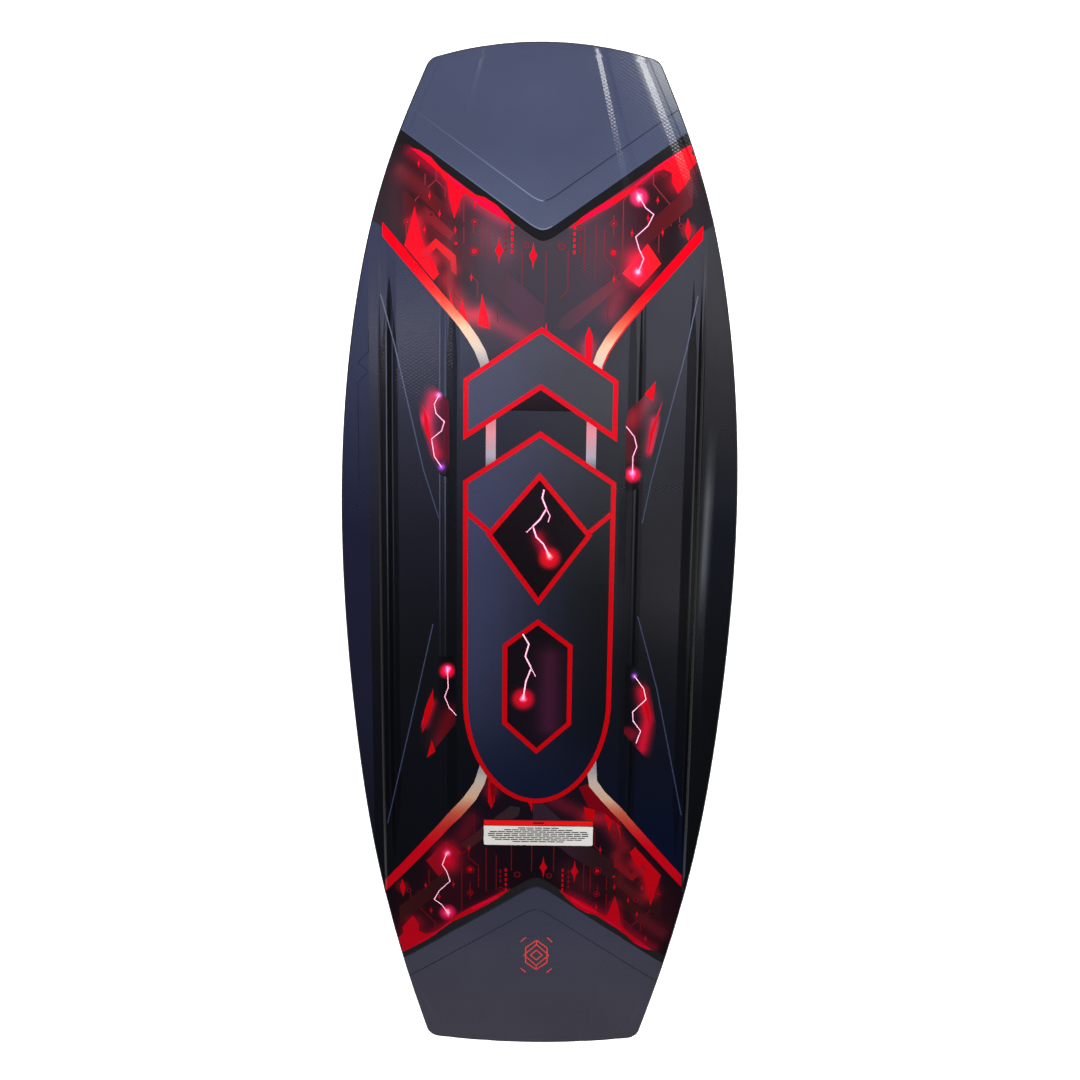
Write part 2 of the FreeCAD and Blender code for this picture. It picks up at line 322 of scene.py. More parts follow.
side_panel = side_to_side(
    by_y((420, 44, 46, 66), (250, 40, 42, 57), (160, 30, 31, 41), (60, 18, 19, 27),
         (-80, 9, 10, 14), (-220, 5, 6, 12), (-360, 4, 5, 10)),
    by_y((420, 50, 50, 58), (250, 46, 46, 53), (160, 34, 34, 40), (83, 21, 21, 27), (38, 20, 20, 25),
         (-8, 22, 22, 27), (-80, 11, 12, 16), (-180, 7, 9, 18), (-300, 2, 6, 24)))
rail_panel = side_to_side(
    by_y((480, 46, 48, 68), (250, 40, 43, 62), (60, 18, 19, 36), (-140, 16, 17, 32), (-400, 6, 6, 12)),
    by_y((480, 48, 48, 53), (290, 42, 42, 46), (250, 37, 37, 41), (170, 27, 27, 31), (137, 21, 22, 27),
         (105, 18, 20, 26), (72, 12, 14, 20), (38, 10, 12, 18), (-140, 5, 6, 9), (-400, 3, 4, 5)))
nose_panel = by_y((600, 52, 56, 76), (480, 54, 59, 79), (400, 62, 67, 87))
tail_panel = by_y((-360, 38, 40, 54), (-460, 48, 48, 60), (-600, 52, 50, 58))
plate = side_to_side(
    by_y((290, 62, 64, 82), (200, 54, 56, 75), (60, 44, 46, 70), (-60, 38, 41, 62), (-160, 26, 29, 48),
         (-250, 8, 12, 30)),
    by_y((290, 56, 56, 61), (200, 50, 50, 55), (110, 30, 31, 36), (0, 11, 13, 15), (-160, 5, 7, 13),
         (-250, 6, 11, 30)))
bright = by_y((500, 184, 6, 24), (290, 186, 12, 30), (0, 154, 0, 8), (-250, 141, 0, 4), (-460, 136, 0, 16))
hot = by_y((400, 228, 4, 58), (-400, 158, 0, 30))
dim = by_y((500, 122, 22, 30), (290, 112, 20, 28), (-250, 84, 0, 8), (-460, 92, 2, 10))
line_red = by_y((500, 124, 34, 40), (380, 104, 34, 40), (290, 88, 34, 40), (-250, 70, 5, 10),
                (-460, 80, 6, 12))


def stripe(p):
    """From red at the outer end, through orange and cream, to grey at the motif."""
    away = np.where(p[:, 1] > 15, p[:, 1] + np.where(p[:, 0] > 0, 17, 0), 39 - p[:, 1])
    shade = 1 - 0.24 * smooth(-p[:, 1], 100, 300)
    return shade[:, None] * ramp(away, [(350, 190, 0, 18), (328, 188, 34, 32), (308, 184, 88, 66),
                                        (290, 196, 156, 130), (268, 174, 160, 150), (246, 118, 116, 126)])


# ---- shapes of the print, with painted shade and highlights among them

PAST_SIDE = 230.0                  # a little outside the board
PAST_TIP = 620.0


def ccw(points):
    p = np.array(points, float)
    x, y = p.T
    return p if np.sum(x * np.roll(y, -1) - np.roll(x, -1) * y) > 0 else p[::-1]


def shrink(points, distance):
    """A polygon with every side moved inward."""
    p = ccw(points)
    ahead = np.roll(p, -1, 0) - p
    ahead /= np.linalg.norm(ahead, axis=1)[:, None]
    behind = np.roll(ahead, 1, 0)
    inward, inward0 = (np.stack([-d[:, 1], d[:, 0]], 1) for d in (ahead, behind))
    both = inward + inward0
    return p + both * (2 * distance / np.sum(both * both, 1))[:, None]


def band(line, width):
    """One four-sided shape for each step of a line; width is one number, or one for each point."""
    line = np.array(line, float)
    widths = np.broadcast_to(width, len(line)) / 2
    made = []
    for a, b, wa, wb in zip(line, line[1:], widths, widths[1:]):
        ahead = (b - a) / np.linalg.norm(b - a)
        side = np.array([-ahead[1], ahead[0]])
        a, b = a - ahead * wa * 0.35, b + ahead * wb * 0.35
        made.append([a - side * wa, b - side * wb, b + side * wb, a + side * wa])
    return made


def diamond(x, y, wide, high):
    """A four-pointed star, from its middle and half its width and height."""
    return [(x - wide, y), (x - wide * 0.28, y - high * 0.4), (x, y - high),
            (x + wide * 0.28, y - high * 0.4), (x + wide, y), (x + wide * 0.28, y + high * 0.4),
            (x, y + high), (x - wide * 0.28, y + high * 0.4)]


def disc(x, y, radius):
    return arc((x, y), radius, 0, 324, 10)


def rings(*places):
    """Small dark red rings, from their middles, radii and widths."""
    made = []
    for x, y, radius, width in places:
        made += [(disc(x, y, radius), dim), (disc(x, y, radius - width), tech)]
    return made


def bolt(paths, core=0.9):
    """Lightning: a violet fringe with a pale core."""
    made = [(shape, lit(flat(96, 14, 62))) for path in paths for shape in band(path, core + 1.5)]
    return made + [(shape, flat(236, 176, 196)) for path in paths for shape in band(path, core)]


def filled(shapes, colour):
    """Several shapes of one colour."""
    return [(shape, colour) for shape in shapes]


def dashes(x0, x1, heights):
    """A column of short upright marks."""
    return [[(x0, y), (x1, y), (x1, y + 4), (x0, y + 4)] for y in heights]


def lines(paths, width, colour):
    """Lines of one width and colour."""
    return [(shape, colour) for path in paths for shape in band(path, width)]


# Nose print, left of the middle
NOSE_LEFT = (
    lines([[(-116, 458), (-116, 446), (-138, 425), (-138, 412)], [(-116, 446), (-106, 436), (-106, 428)],
           [(-86, 430), (-85, 356)], [(-75, 405), (-75, 390)], [(-66, 400), (-66, 366), (-74, 356)],
           [(-77, 345), (-70, 338), (-70, 320)], [(-148, 404), (-148, 386)], [(-128, 452), (-128, 440)],
           [(-58, 398), (-58, 340)], [(-97, 356), (-97, 326), (-90, 318)],
           [(-22, 372), (-22, 330), (-14, 322)], [(4, 372), (4, 316)], [(-48, 318), (-48, 296)]], 1.1,
          line_red)
    + [([(-158, 468), (-84, 400), (-90, 388), (-158, 450)],
        lit(by_x((-158, 44, 14, 18), (-125, 84, 18, 22), (-84, 40, 14, 20)))),
       ([(-152, 436), (-100, 388), (-42, 352), (3, 313), (3, 273), (-26, 301), (-65, 338), (-110, 372),
         (-152, 412)],
        lit(by_x((-152, 60, 14, 18), (-110, 74, 16, 22), (-70, 52, 22, 32), (-30, 64, 38, 60),
                 (3, 62, 36, 56)))),
       ([(-128, 418), (-96, 390), (-100, 382), (-128, 404)],
        lit(by_x((-128, 96, 18, 22), (-96, 110, 24, 28))))]
    + filled([[(-145, 480), (-134, 477), (-122, 470), (-112, 459), (-100, 450), (-88, 441), (-74, 431),
               (-63, 428), (-50, 420), (-38, 408), (-29, 397), (-40, 404), (-54, 411), (-68, 419),
               (-78, 428), (-86, 432), (-89, 426), (-96, 405), (-102, 426), (-104, 443), (-112, 453),
               (-124, 463), (-134, 471)]], bright)
    + lines([[(-140, 478), (-122, 468)], [(-104, 451), (-86, 437)]], 1.6, hot)
    + lines([[(-74, 427), (-58, 419), (-44, 409)]], 3.2, hot)
    + filled([[(-139, 418), (-134, 394), (-128, 374), (-116, 356), (-112, 346), (-118, 339), (-150, 376)]],
             bright)
    + filled([[(-116, 384), (-94, 366), (-93, 345), (-99, 350), (-100, 360), (-115, 374), (-128, 362),
               (-132, 368)]],
             lit(by_y((384, 190, 14, 24), (345, 150, 12, 20))))
    + filled([[(-87, 320), (-93, 292), (-79, 290)], [(-65, 326), (-70, 292), (-56, 288)],
              [(-102, 332), (-98, 306), (-92, 300)]], bright)
    + filled([diamond(-47, 372, 4.6, 15), diamond(-10, 367, 4.6, 15), diamond(5, 283, 4, 13)], bright)
    + filled([diamond(x, y, 1.7, 5) for x, y in ((-112, 410), (-95, 393), (-128, 393), (-123, 429),
                                                 (-135, 463), (-77, 343), (-74, 420))], bright)
    + rings((-147, 401, 4, 1.2), (-121, 409, 3.4, 1.1), (-74, 402, 4, 1.2), (-17, 378, 3.4, 1.1),
            (-74, 371, 5.4, 1.1))
    + filled([disc(-74, 371, 2.7), disc(-94, 379, 1.6), disc(-147, 401, 1.2), disc(-74, 402, 1.2)], bright)
    + filled(dashes(-34.2, -31.8, (369, 375.5, 382, 388.5, 395)), bright)
    + filled(dashes(-41, -39, (371, 377.5, 384, 390.5)), dim)
)

# Nose print, right of the middle
NOSE_RIGHT = (
    lines([[(92, 440), (92, 433), (87, 426), (87, 352), (76, 340)], [(106, 450), (106, 443), (119, 455)],
           [(119, 455), (119, 444), (139, 421), (139, 400)], [(67, 395), (67, 366), (79, 355), (79, 340)],
           [(77, 411), (77, 388)], [(58, 400), (58, 342)], [(72, 331), (72, 299)], [(46, 398), (46, 352)],
           [(28, 372), (28, 330), (20, 322)], [(126, 400), (126, 372)], [(148, 420), (148, 404)]], 1.1,
          line_red)
    + filled([[(80, 345), (88, 338), (30, 288), (18, 290), (20, 300)]],
             lit(by_x((84, 96, 26, 36), (20, 58, 46, 56))))
    + [([(162, 446), (162, 422), (98, 366), (88, 372), (96, 386)],
        lit(by_x((96, 60, 14, 20), (162, 78, 18, 24)))),
       ([(114, 381), (87, 349), (106, 335), (129, 360)], lit(flat(214, 4, 22)))]
    + filled([[(28, 396), (42, 408), (55, 417), (71, 427), (96, 441), (112, 452), (120, 461), (134, 471),
               (147, 479), (158, 486), (163, 487), (160, 477), (170, 471), (157, 464), (159, 451),
               (146, 434), (139, 446), (139, 456), (130, 460), (119, 456), (108, 447), (94, 434), (80, 424),
               (72, 419), (57, 411), (40, 401)]],
             bright)
    + lines([[(44, 407), (60, 416), (74, 424)]], 3.0, hot)
    + lines([[(100, 443), (113, 453), (126, 464), (144, 475)]], 1.4, hot)
    + filled([[(150, 462), (168, 471), (155, 455)], [(157, 409), (161, 396), (158, 384), (154, 396)]],
             bright)
    + filled([disc(131, 455, 4.2)], lit(flat(90, 4, 12)))
    + filled([diamond(x, y, 1.7, 5) for x, y in ((124, 427), (114, 408), (97, 392), (130, 393),
                                                 (78, 343), (52, 276))], bright)
    + filled([[(48, 282), (52, 292), (56, 282), (55, 256), (49, 256)]], bright)
    + rings((77, 371, 5.4, 1.1), (77, 402, 3.8, 1.1), (21, 377, 4, 1.2), (40, 397, 3.2, 1), (150, 400, 3, 1))
    + filled([disc(77, 371, 2.9), disc(77, 402, 1.1)], bright)
    + filled(dashes(33.4, 35.8, (369, 375.5, 382, 388.5, 395)), bright)
    + filled(dashes(40, 42, (371, 377.5, 384)), dim)
    + bolt([[(104, 431), (111, 419), (120, 412), (114, 400), (101, 388), (105, 375), (110, 365),
             (105, 352)]])
)

LIGHTNING = bolt([
    [(-112, 216), (-117, 206), (-115, 196), (-106, 187), (-109, 177), (-120, 168)],
    [(-120, 168), (-117, 149), (-109, 137)],
    [(95, 184), (104, 173), (107, 162), (103, 151), (103, 133)],
    [(-103, -95), (-102, -117), (-106, -128), (-101, -141), (-93, -150)],
    [(111, -100), (122, -115), (125, -128), (110, -143), (111, -154), (120, -166), (115, -181)],
], 0.9) + bolt([
    [(5, 113), (3, 104), (8, 92), (1, 80), (-7, 72), (-3, 60), (5, 52), (12, 38)],
    [(-17, -52), (-10, -64), (-14, -78), (-7, -92), (-13, -108), (-16, -129)],
], 1.6) + bolt([
    [(8, 92), (12, 84), (10, 77)], [(-7, 72), (-14, 65)], [(-7, -92), (-2, -102)],
], 0.8)

STREAKS = filled([
    [(-130, 206), (-124, 190), (-120, 160), (-127, 176)], [(134, 213), (126, 180), (119, 150), (121, 178)],
    [(-119, -118), (-120, -142), (-132, -172), (-129, -144)],
    [(120, -116), (129, -140), (131, -162), (124, -140)], [(126, 234), (124, 212), (114, 220)],
    [(-127, -202), (-121, -180), (-117, -194)],
], bright)


def v_shape(tip_x, tip_y, left, right):
    """A rounded V from one side of the board to the other; left and right are its rises for each mm out."""
    x = np.concatenate([[-PAST_SIDE], np.linspace(-13, 13, 9), [PAST_SIDE]])
    rise = np.where(x < 0, left, right) * (np.sqrt(x * x + 64) - 8)
    return np.stack([tip_x + x, tip_y + rise], 1)


nose_v = v_shape(0, 394, 0.71, 0.71)
tail_v = v_shape(2, -366, -0.66, -0.715)


def beyond(line, sign):
    """All of the board from a V outward; sign is 1 for the nose and -1 for the tail."""
    return np.concatenate([line, [(PAST_SIDE, sign * PAST_TIP), (-PAST_SIDE, sign * PAST_TIP)]])


tech_nose = [(-190, 560), (-190, 404), (-177, 398), (-91, 300), (-60, 262), (-60, 200), (60, 200),
             (60, 262), (91, 300), (173, 394), (190, 404), (190, 560)]
tech_tail = [(-190, -560), (-190, -380), (-177, -368), (-90, -268), (-66, -236), (-58, -180), (62, -180),
             (66, -226), (96, -266), (174, -358), (190, -374), (190, -560)]
NOSE_STRIPE = [(54, 236), (56, 250), (61, 265), (69, 279), (80, 294), (91, 306), (174, 401), (174, 386),
               (91, 291), (81, 277), (73, 264), (67, 250), (65, 236)]
TAIL_STRIPE = [(69, -196), (71, -228), (80, -241), (105, -268), (175, -350), (175, -365), (96, -275),
               (74, -250), (62, -235), (56, -196)]
TAIL_STRIPE_LEFT = [(-64, -196), (-66, -212), (-72, -232), (-84, -250), (-98, -267), (-178, -360),
                    (-178, -375), (-88, -276), (-70, -254), (-60, -234), (-54, -212), (-50, -196)]
PATCHES = [
    [(-132, 235), (-126, 233), (-112, 223), (-101, 209), (-100, 125), (-110, 128), (-122, 150), (-131, 180),
     (-136, 210)],
    [(128, 236), (110, 214), (97, 202), (94, 184), (96, 112), (110, 115), (122, 145), (131, 185),
     (136, 215)],
    [(-112, -80), (-94, -80), (-93, -160), (-126, -201), (-136, -190), (-133, -160), (-122, -120)],
    [(100, -85), (118, -90), (130, -115), (138, -160), (134, -202), (126, -198), (101, -170)],
]

# A plain upright badge: a roof above a rounded plate with two windows
ROOF = [(-85, 234), (-85, 167), (0, 223), (85, 167), (85, 234), (0, 291)]
BODY = np.concatenate([[(85, 122), (0, 178), (-85, 122)], arc((0, -130), (85, 127), 180, 360, 33)])
KITE = [(0, 128), (-56, 62), (0, -14), (56, 62)]
SLOT = [(0, -38), (-37, -66), (-37, -158), (0, -192), (37, -158), (37, -66)]
RED_LINE = 5.4


def framed(points, inside):
    return [(points, bright), (shrink(points, RED_LINE), inside)]


def badge():
    tall = shrink(BODY, RED_LINE)
    return (
        framed(ROOF, plate) + [(BODY, bright), (tall, plate)]
        + lines([[(52, 62), (82, 88)], [(-52, 62), (-82, 88)]], RED_LINE, bright)
        + [(shrink(KITE, -RED_LINE / 2), bright), (shrink(KITE, RED_LINE / 2), tech)]
        + [(shrink(SLOT, -RED_LINE / 2), bright), (shrink(SLOT, RED_LINE / 2), tech)]
    )


def rail_side(side):
    """The panel at the edge, which leans in at the tips; the right-hand one starts at the channel."""
    y = np.array([-600, -TAPER_START, TAPER_START, 600])
    near = np.stack([(CREASE if side < 0 else 179) * taper(y), y], 1)
    return np.concatenate([near, [(240, 600), (240, -600)]]) * (side, 1)


def painted_rail_highlight(p):
    """A painted highlight: a soft strip of light along the right-hand rail."""
    core = ramp(p[:, 1], [(190, 29, 29, 33), (140, 44, 45, 48), (105, 66, 67, 70), (60, 60, 62, 66),
                          (20, 54, 57, 61), (-10, 34, 36, 40), (-50, 9, 10, 13)])
    across = p[:, 0] - 0.0235 * p[:, 1] - 184
    return mix(rail_panel(p), core, np.interp(across, [-4.5, 0, 2, 9], [0, 1, 0.9, 0]))


def painted_corner_highlight(p):
    """A painted highlight: soft light on the nose's right-hand corner."""
    share = smooth((p[:, 0] - 94.5) * 0.928 + (p[:, 1] - 581) * 0.371, -1, 3) * smooth(p[:, 1], 480, 565)
    return mix(nose_panel(p), (92, 95, 103), share)


def darker(paint, share):
    return lambda p: paint(p) * share


def channel_stroke(x0, x1, paint):
    """A long stroke along a channel, drawn out to a point at each end; these strokes paint the channels'
    shade and the highlights on their edges.
    """
    middle = (x0 + x1) / 2
    return [(middle, 345), (x1, 262), (x1, -250), (middle, -330), (x0, -250), (x0, 262)], paint


# Colours of the painted highlights on the channels' edges
channel_highlight_left = by_y((330, 56, 58, 76), (270, 62, 66, 80), (123, 56, 60, 74), (32, 38, 42, 54),
                  (-60, 18, 20, 30), (-150, 8, 9, 14))
channel_highlight_right = by_y((330, 50, 50, 56), (271, 52, 53, 56), (123, 40, 42, 46), (32, 34, 36, 40),
                   (-60, 14, 16, 22), (-150, 6, 8, 14))
# Painted shade in the channels, and thin strokes of painted highlight along some of their edges
CHANNEL_SHADE_AND_HIGHLIGHTS = [
    channel_stroke(x0, x1, darker(side_panel, share)) for x0, x1, share in (
        (-176, -157, 0.5), (-178.6, -176, 0.3), (-168.6, -164.6, 0.2), (-103.6, -92, 0.6), (96, 105, 0.75),
        (107.5, 111, 0.3), (111, 115, 0.65), (160, 170.6, 0.55), (172.4, 176, 0.2), (176, 179.6, 0.35))
] + [
    channel_stroke(x0, x1, paint) for x0, x1, paint in (
        (-170.6, -169.2, channel_highlight_left), (-163.6, -162.6, darker(channel_highlight_left, 0.7)),
        (-111.6, -110.4, channel_highlight_left), (-105.8, -104.5, channel_highlight_left), (105, 106.8, channel_highlight_right),
        (170.7, 172.2, channel_highlight_right))
]


def base_print():
    """Every coloured shape of the base, painted shade and highlights among them; later ones cover earlier
    ones.
    """
    # Rings in the ground's colour, which make the mesh fine enough for the round glows
    shapes = [(arc(line[0], reach * share, 0, 345, 24), side_panel) for line, reach, _, _ in HAZE
              if len(line) == 1 and reach >= 3 for share in (1.3, 1.1, 0.9, 0.7)]
    shapes += [(rail_side(side), rail_panel) for side in (-1, 1)] + CHANNEL_SHADE_AND_HIGHLIGHTS
    # Painted highlight along the right-hand rail, in three nested strips
    shapes += [([(x0, 190), (x1, 190), (x1 - 4, -60), (x0 - 4, -60)], painted_rail_highlight)
               for x0, x1 in ((183, 197), (185, 194), (187, 191))]
    shapes += [(tech_nose, tech), (tech_tail, tech)] + [(p, patch) for p in PATCHES]
    # Pale lines across the side panels: painted highlights of moulded creases that the base's shape does not
    # have
    shapes += lines([[(-176, 324), (-160, 268), (-129, 134), (-112, 80)],
                     [(170, 326), (159, 269), (124, 125), (115, 77)],
                     [(-119, -42), (-136, -119), (-174, -286)], [(113, -30), (137, -115), (171, -271)]],
                    1.4, by_y((330, 78, 84, 104), (100, 44, 50, 70), (-280, 34, 40, 64)))
    shapes += lines([[(-189, 285), (-189, 262), (-201, 250), (-189, 241), (-201, 229), (-201, 115),
                      (-190, 104), (-190, -18), (-202, -30), (-190, -42), (-203, -56), (-203, -145),
                      (-190, -165)]],
                    0.8, by_y((300, 26, 28, 40), (-180, 16, 18, 28)))
    for line, sign, left, right in ((nose_v, 1, 9, 14), (tail_v, -1, 12, 12)):
        drop = sign * np.interp(line[:, 0], [-60, 60], [left, right])
        shapes.append((beyond(line - np.outer(drop, (0, 1)), sign), flat(20, 19, 22)))
    shapes += STREAKS + NOSE_LEFT + NOSE_RIGHT
    shapes += [(turned(s), c) for s, c in NOSE_LEFT + NOSE_RIGHT]
    shapes += filled([[(-54, -232), (-47, -232), (-50.5, -262)], [(-6, -240), (0, -240), (-3, -270)],
                      [(50, -236), (66, -230), (86, -262), (104, -290), (80, -268), (62, -262)]], dim)
    shapes += [([(x, 132), (x + 11, 132), (x + 11, 204), (x, 204)],
                by_y((204, 150, 84, 98), (176, 176, 112, 120), (150, 132, 126, 138), (132, 66, 66, 78)))
               for x in (-60, 51)]
    for line, panel, sign in ((nose_v, nose_panel, 1), (tail_v, tail_panel, -1)):
        shapes.append((beyond(line, sign), panel))
        if sign > 0:
            # Painted highlight on the nose's right-hand corner
            shapes.append(([(90, 600), (89, 588), (126, 496), (134, 486), (165, 508), (165, 600)],
                           painted_corner_highlight))
        # Thin lines along each V and along a copy 31 mm nearer its tip: painted highlight and shade of small
        # moulded steps, at the nose lighter on the left-hand half than on the right, at the tail dark
        inner = line + (0, sign * 31)
        shapes += lines([line[3:9] + (0, sign * 0.9), line[:4] + (0, sign * 0.9)], 1.0,
                        by_x((-120, 60, 66, 88), (-60, 84, 90, 112), (8, 104, 110, 132), (14, 62, 67, 87))
                        if sign > 0 else flat(26, 26, 34))
        shapes += lines([inner[:6]], 1.3, by_x((-150, 54, 59, 79), (-60, 78, 84, 104), (0, 100, 106, 126))
                        if sign > 0 else flat(28, 28, 38))
        shapes += lines([inner[6:]], 1.3, flat(34, 36, 52) if sign > 0 else flat(30, 30, 40))
    shapes += filled([NOSE_STRIPE, [(-x, y) for x, y in NOSE_STRIPE], TAIL_STRIPE, TAIL_STRIPE_LEFT], stripe)
    shapes += lines([[(66, 237), (68, 250), (74, 264), (82, 277), (92, 291), (112, 315)]], 1.6, bright)
    return shapes + badge() + LIGHTNING


# ---- meshes


def grid(step):
    """Points of a triangular grid over the board."""
    rows = np.arange(-600, 600, step * 0.866)
    cols = np.arange(-228, 228, step)
    return np.concatenate([np.stack([cols + (i % 2) * step / 2, np.full(len(cols), y)], 1)
                           for i, y in enumerate(rows)])


def inside(points, polygon):
    """Which points lie in a polygon."""
    p, q = np.array(polygon), np.roll(np.array(polygon), -1, 0)
    hit = np.zeros(len(points), bool)
    for (x0, y0), (x1, y1) in zip(p, q):
        if y0 == y1:
            continue
        span = (points[:, 1] > min(y0, y1)) & (points[:, 1] <= max(y0, y1))
        cross = x0 + (points[:, 1] - y0) * (x1 - x0) / (y1 - y0)
        hit ^= span & (points[:, 0] < cross)
    return hit


def dense(points, most, closed=True):
    """The same line with its long steps divided, so that it can follow the board's curve."""
    points = np.array(points, float)
    ends = np.roll(points, -1, 0) if closed else points[1:]
    made = []
    for a, b in zip(points, ends):
        parts = max(1, math.ceil(np.linalg.norm(b - a) / most))
        made += [a + (b - a) * i / parts for i in range(parts)]
    return np.array(made if closed else made + [points[-1]])


def triangulate(outline, polygons, folds, step, margin):
    """Triangles inside an outline that follow every polygon and fold, with the last polygon each is in."""
    outline = ccw(outline)
    points, faces, edges = [outline], [list(range(len(outline)))], []
    total = len(outline)
    for shape in polygons:
        shape = dense(ccw(shape), 9)
        points.append(shape)
        faces.append(list(range(total, total + len(shape))))
        total += len(shape)
    for fold in folds:
        fold = dense(fold, 9, False)
        points.append(fold)
        edges += [(total + i, total + i + 1) for i in range(len(fold) - 1)]
        total += len(fold)
    loose = grid(step)
    loose = loose[inside(loose, outline)]
    loose = loose[along(loose, np.concatenate([outline, outline[:1]])) > margin]
    points.append(loose)
    flat_points = [Vector(p) for p in np.concatenate(points)]
    verts, _, tris, _, _, owners = delaunay_2d_cdt(flat_points, edges, faces, 1, 1e-3)
    kept = np.array([t for t, o in zip(tris, owners) if 0 in o])
    last = np.array([max(o) for o in owners if 0 in o])
    used, tris = np.unique(kept, return_inverse=True)
    return np.array([tuple(v) for v in verts])[used], tris.reshape(-1, 3), last


def border(tris):
    """The loop of vertices round a set of triangles, in order."""
    sides = dict.fromkeys(s for a, b, c in tris for s in ((a, b), (b, c), (c, a)))
    after = {a: b for a, b in sides if (b, a) not in sides}
    loop = [next(iter(after))]
    while len(loop) < len(after):
        loop.append(after[loop[-1]])
    return loop


def srgb_to_linear(c):
    c = np.clip(c, 0, 255) / 255
    return np.where(c <= 0.04045, c / 12.92, ((c + 0.055) / 1.055) ** 2.4)


SHEET_EDGE = (16, 16, 20)          # colour of a printed sheet's rim and back


def surface_normals(corners, top):
    """Upward directions at the corners of triangles, each taken just inside its own triangle."""
    inner = corners + (corners.mean(1, keepdims=True) - corners) * 0.04
    x, y = inner.reshape(-1, 2).T
    h = 0.02
    slopes = [(top(x + h, y) - top(x - h, y)) / (2 * h), (top(x, y + h) - top(x, y - h)) / (2 * h)]
    made = np.column_stack([-slopes[0], -slopes[1], np.ones(len(x))])
    return made / np.linalg.norm(made, axis=1)[:, None]


def printed_sheet(name, outline, shapes, ground, folds, top, thick, step, back_step):
    """A closed sheet whose upper side carries a print."""
    xy, tris, owner = triangulate(outline, [s for s, _ in shapes], folds, step, step * 0.5)
    loop = border(tris)
    low_xy, low_tris, _ = triangulate(xy[loop], [], folds, back_step, back_step * 0.3)
    upper = np.column_stack([xy, top(*xy.T)])
    lower = np.column_stack([low_xy, top(*low_xy.T) - thick])
    shift = len(upper)
    below = [int(np.argmin(np.linalg.norm(low_xy - xy[i], axis=1))) for i in loop]
    walls = [(loop[i], below[i] + shift, below[(i + 1) % len(loop)] + shift, loop[(i + 1) % len(loop)])
             for i in range(len(loop))]
    faces = [tuple(t) for t in tris] + [tuple(t[::-1] + shift) for t in low_tris] + walls
    mesh = bpy.data.meshes.new(name)
    mesh.from_pydata(np.concatenate([upper, lower]) / 1000, [], faces)
    mesh.validate()
    colours = np.zeros((len(mesh.loops), 4), np.float32)
    colours[:, 3] = 1
    colours[:, :3] = srgb_to_linear(np.array(SHEET_EDGE))
    corners = xy[tris]
    paints = [ground] + [c for _, c in shapes]
    for index in np.unique(owner):
        chosen = owner == index
        made = srgb_to_linear(paints[index](corners[chosen].reshape(-1, 2)))
        spots = (np.flatnonzero(chosen)[:, None] * 3 + np.arange(3)).ravel()
        colours[spots, :3] = made
    layer = mesh.color_attributes.new("print", "FLOAT_COLOR", "CORNER")
    layer.data.foreach_set("color", colours.ravel())
    obj = finished(mesh, 14)
    normals = np.zeros((len(mesh.loops), 3), np.float32)
    mesh.corner_normals.foreach_get("vector", normals.ravel())
    normals[:corners.size // 2] = surface_normals(corners, top)
    mesh.normals_split_custom_set(normals)
    return obj


def placed(name, data):
    """A new object in the scene."""
    obj = bpy.data.objects.new(name, data)
    bpy.context.scene.collection.objects.link(obj)
    return obj


def finished(mesh, angle):
    """An object for a mesh in metres, smooth except at its sharp edges."""
    mesh.polygons.foreach_set("use_smooth", [True] * len(mesh.polygons))
    mesh.set_sharp_from_angle(angle=math.radians(angle))
    mesh.update()
    return placed(mesh.name, mesh)


def rail(name, first, count):
    """A stretch of the cast rail, from one of the outline's points on, with rounded outer edges."""
    # Each point: inset from the board's edge, 0 for the base side or 1 for the deck side, lift
    section = [(RIM, 0, 0), (0.9, 0, -0.04), (0.35, 0, -0.32), (0.0, 0, -1.0), (0.0, 1, 2.2), (0.6, 1, 0.9),
               (1.8, 1, 0.15), (3.4, 1, 0), (7, 1, 0), (7, 1, 1.7), (10, 1, 1.7), (10, 0, -1.9),
               (RIM, 0, -1.9)]
    index = (np.arange(count) + first) % len(EDGE)
    rings = []
    for distance, side, lift in section:
        x, y = (EDGE - OUTWARD * distance)[index].T
        z = (deck_height(x, y) if side else base_height(x, y)) + lift
        rings.append(np.column_stack([x, y, z]))
    verts = np.stack(rings, 1).reshape(-1, 3) / 1000
    n = len(section)
    faces = [(i * n + j, i * n + (j + 1) % n, (i + 1) * n + (j + 1) % n, (i + 1) * n + j)
             for i in range(count - 1) for j in range(n)]
    faces += [tuple(range(n))[::-1], tuple(range((count - 1) * n, count * n))]
    mesh = bpy.data.meshes.new(name)
    mesh.from_pydata(verts, [], faces)
    mesh.validate()
    return finished(mesh, 40)


# ---- materials


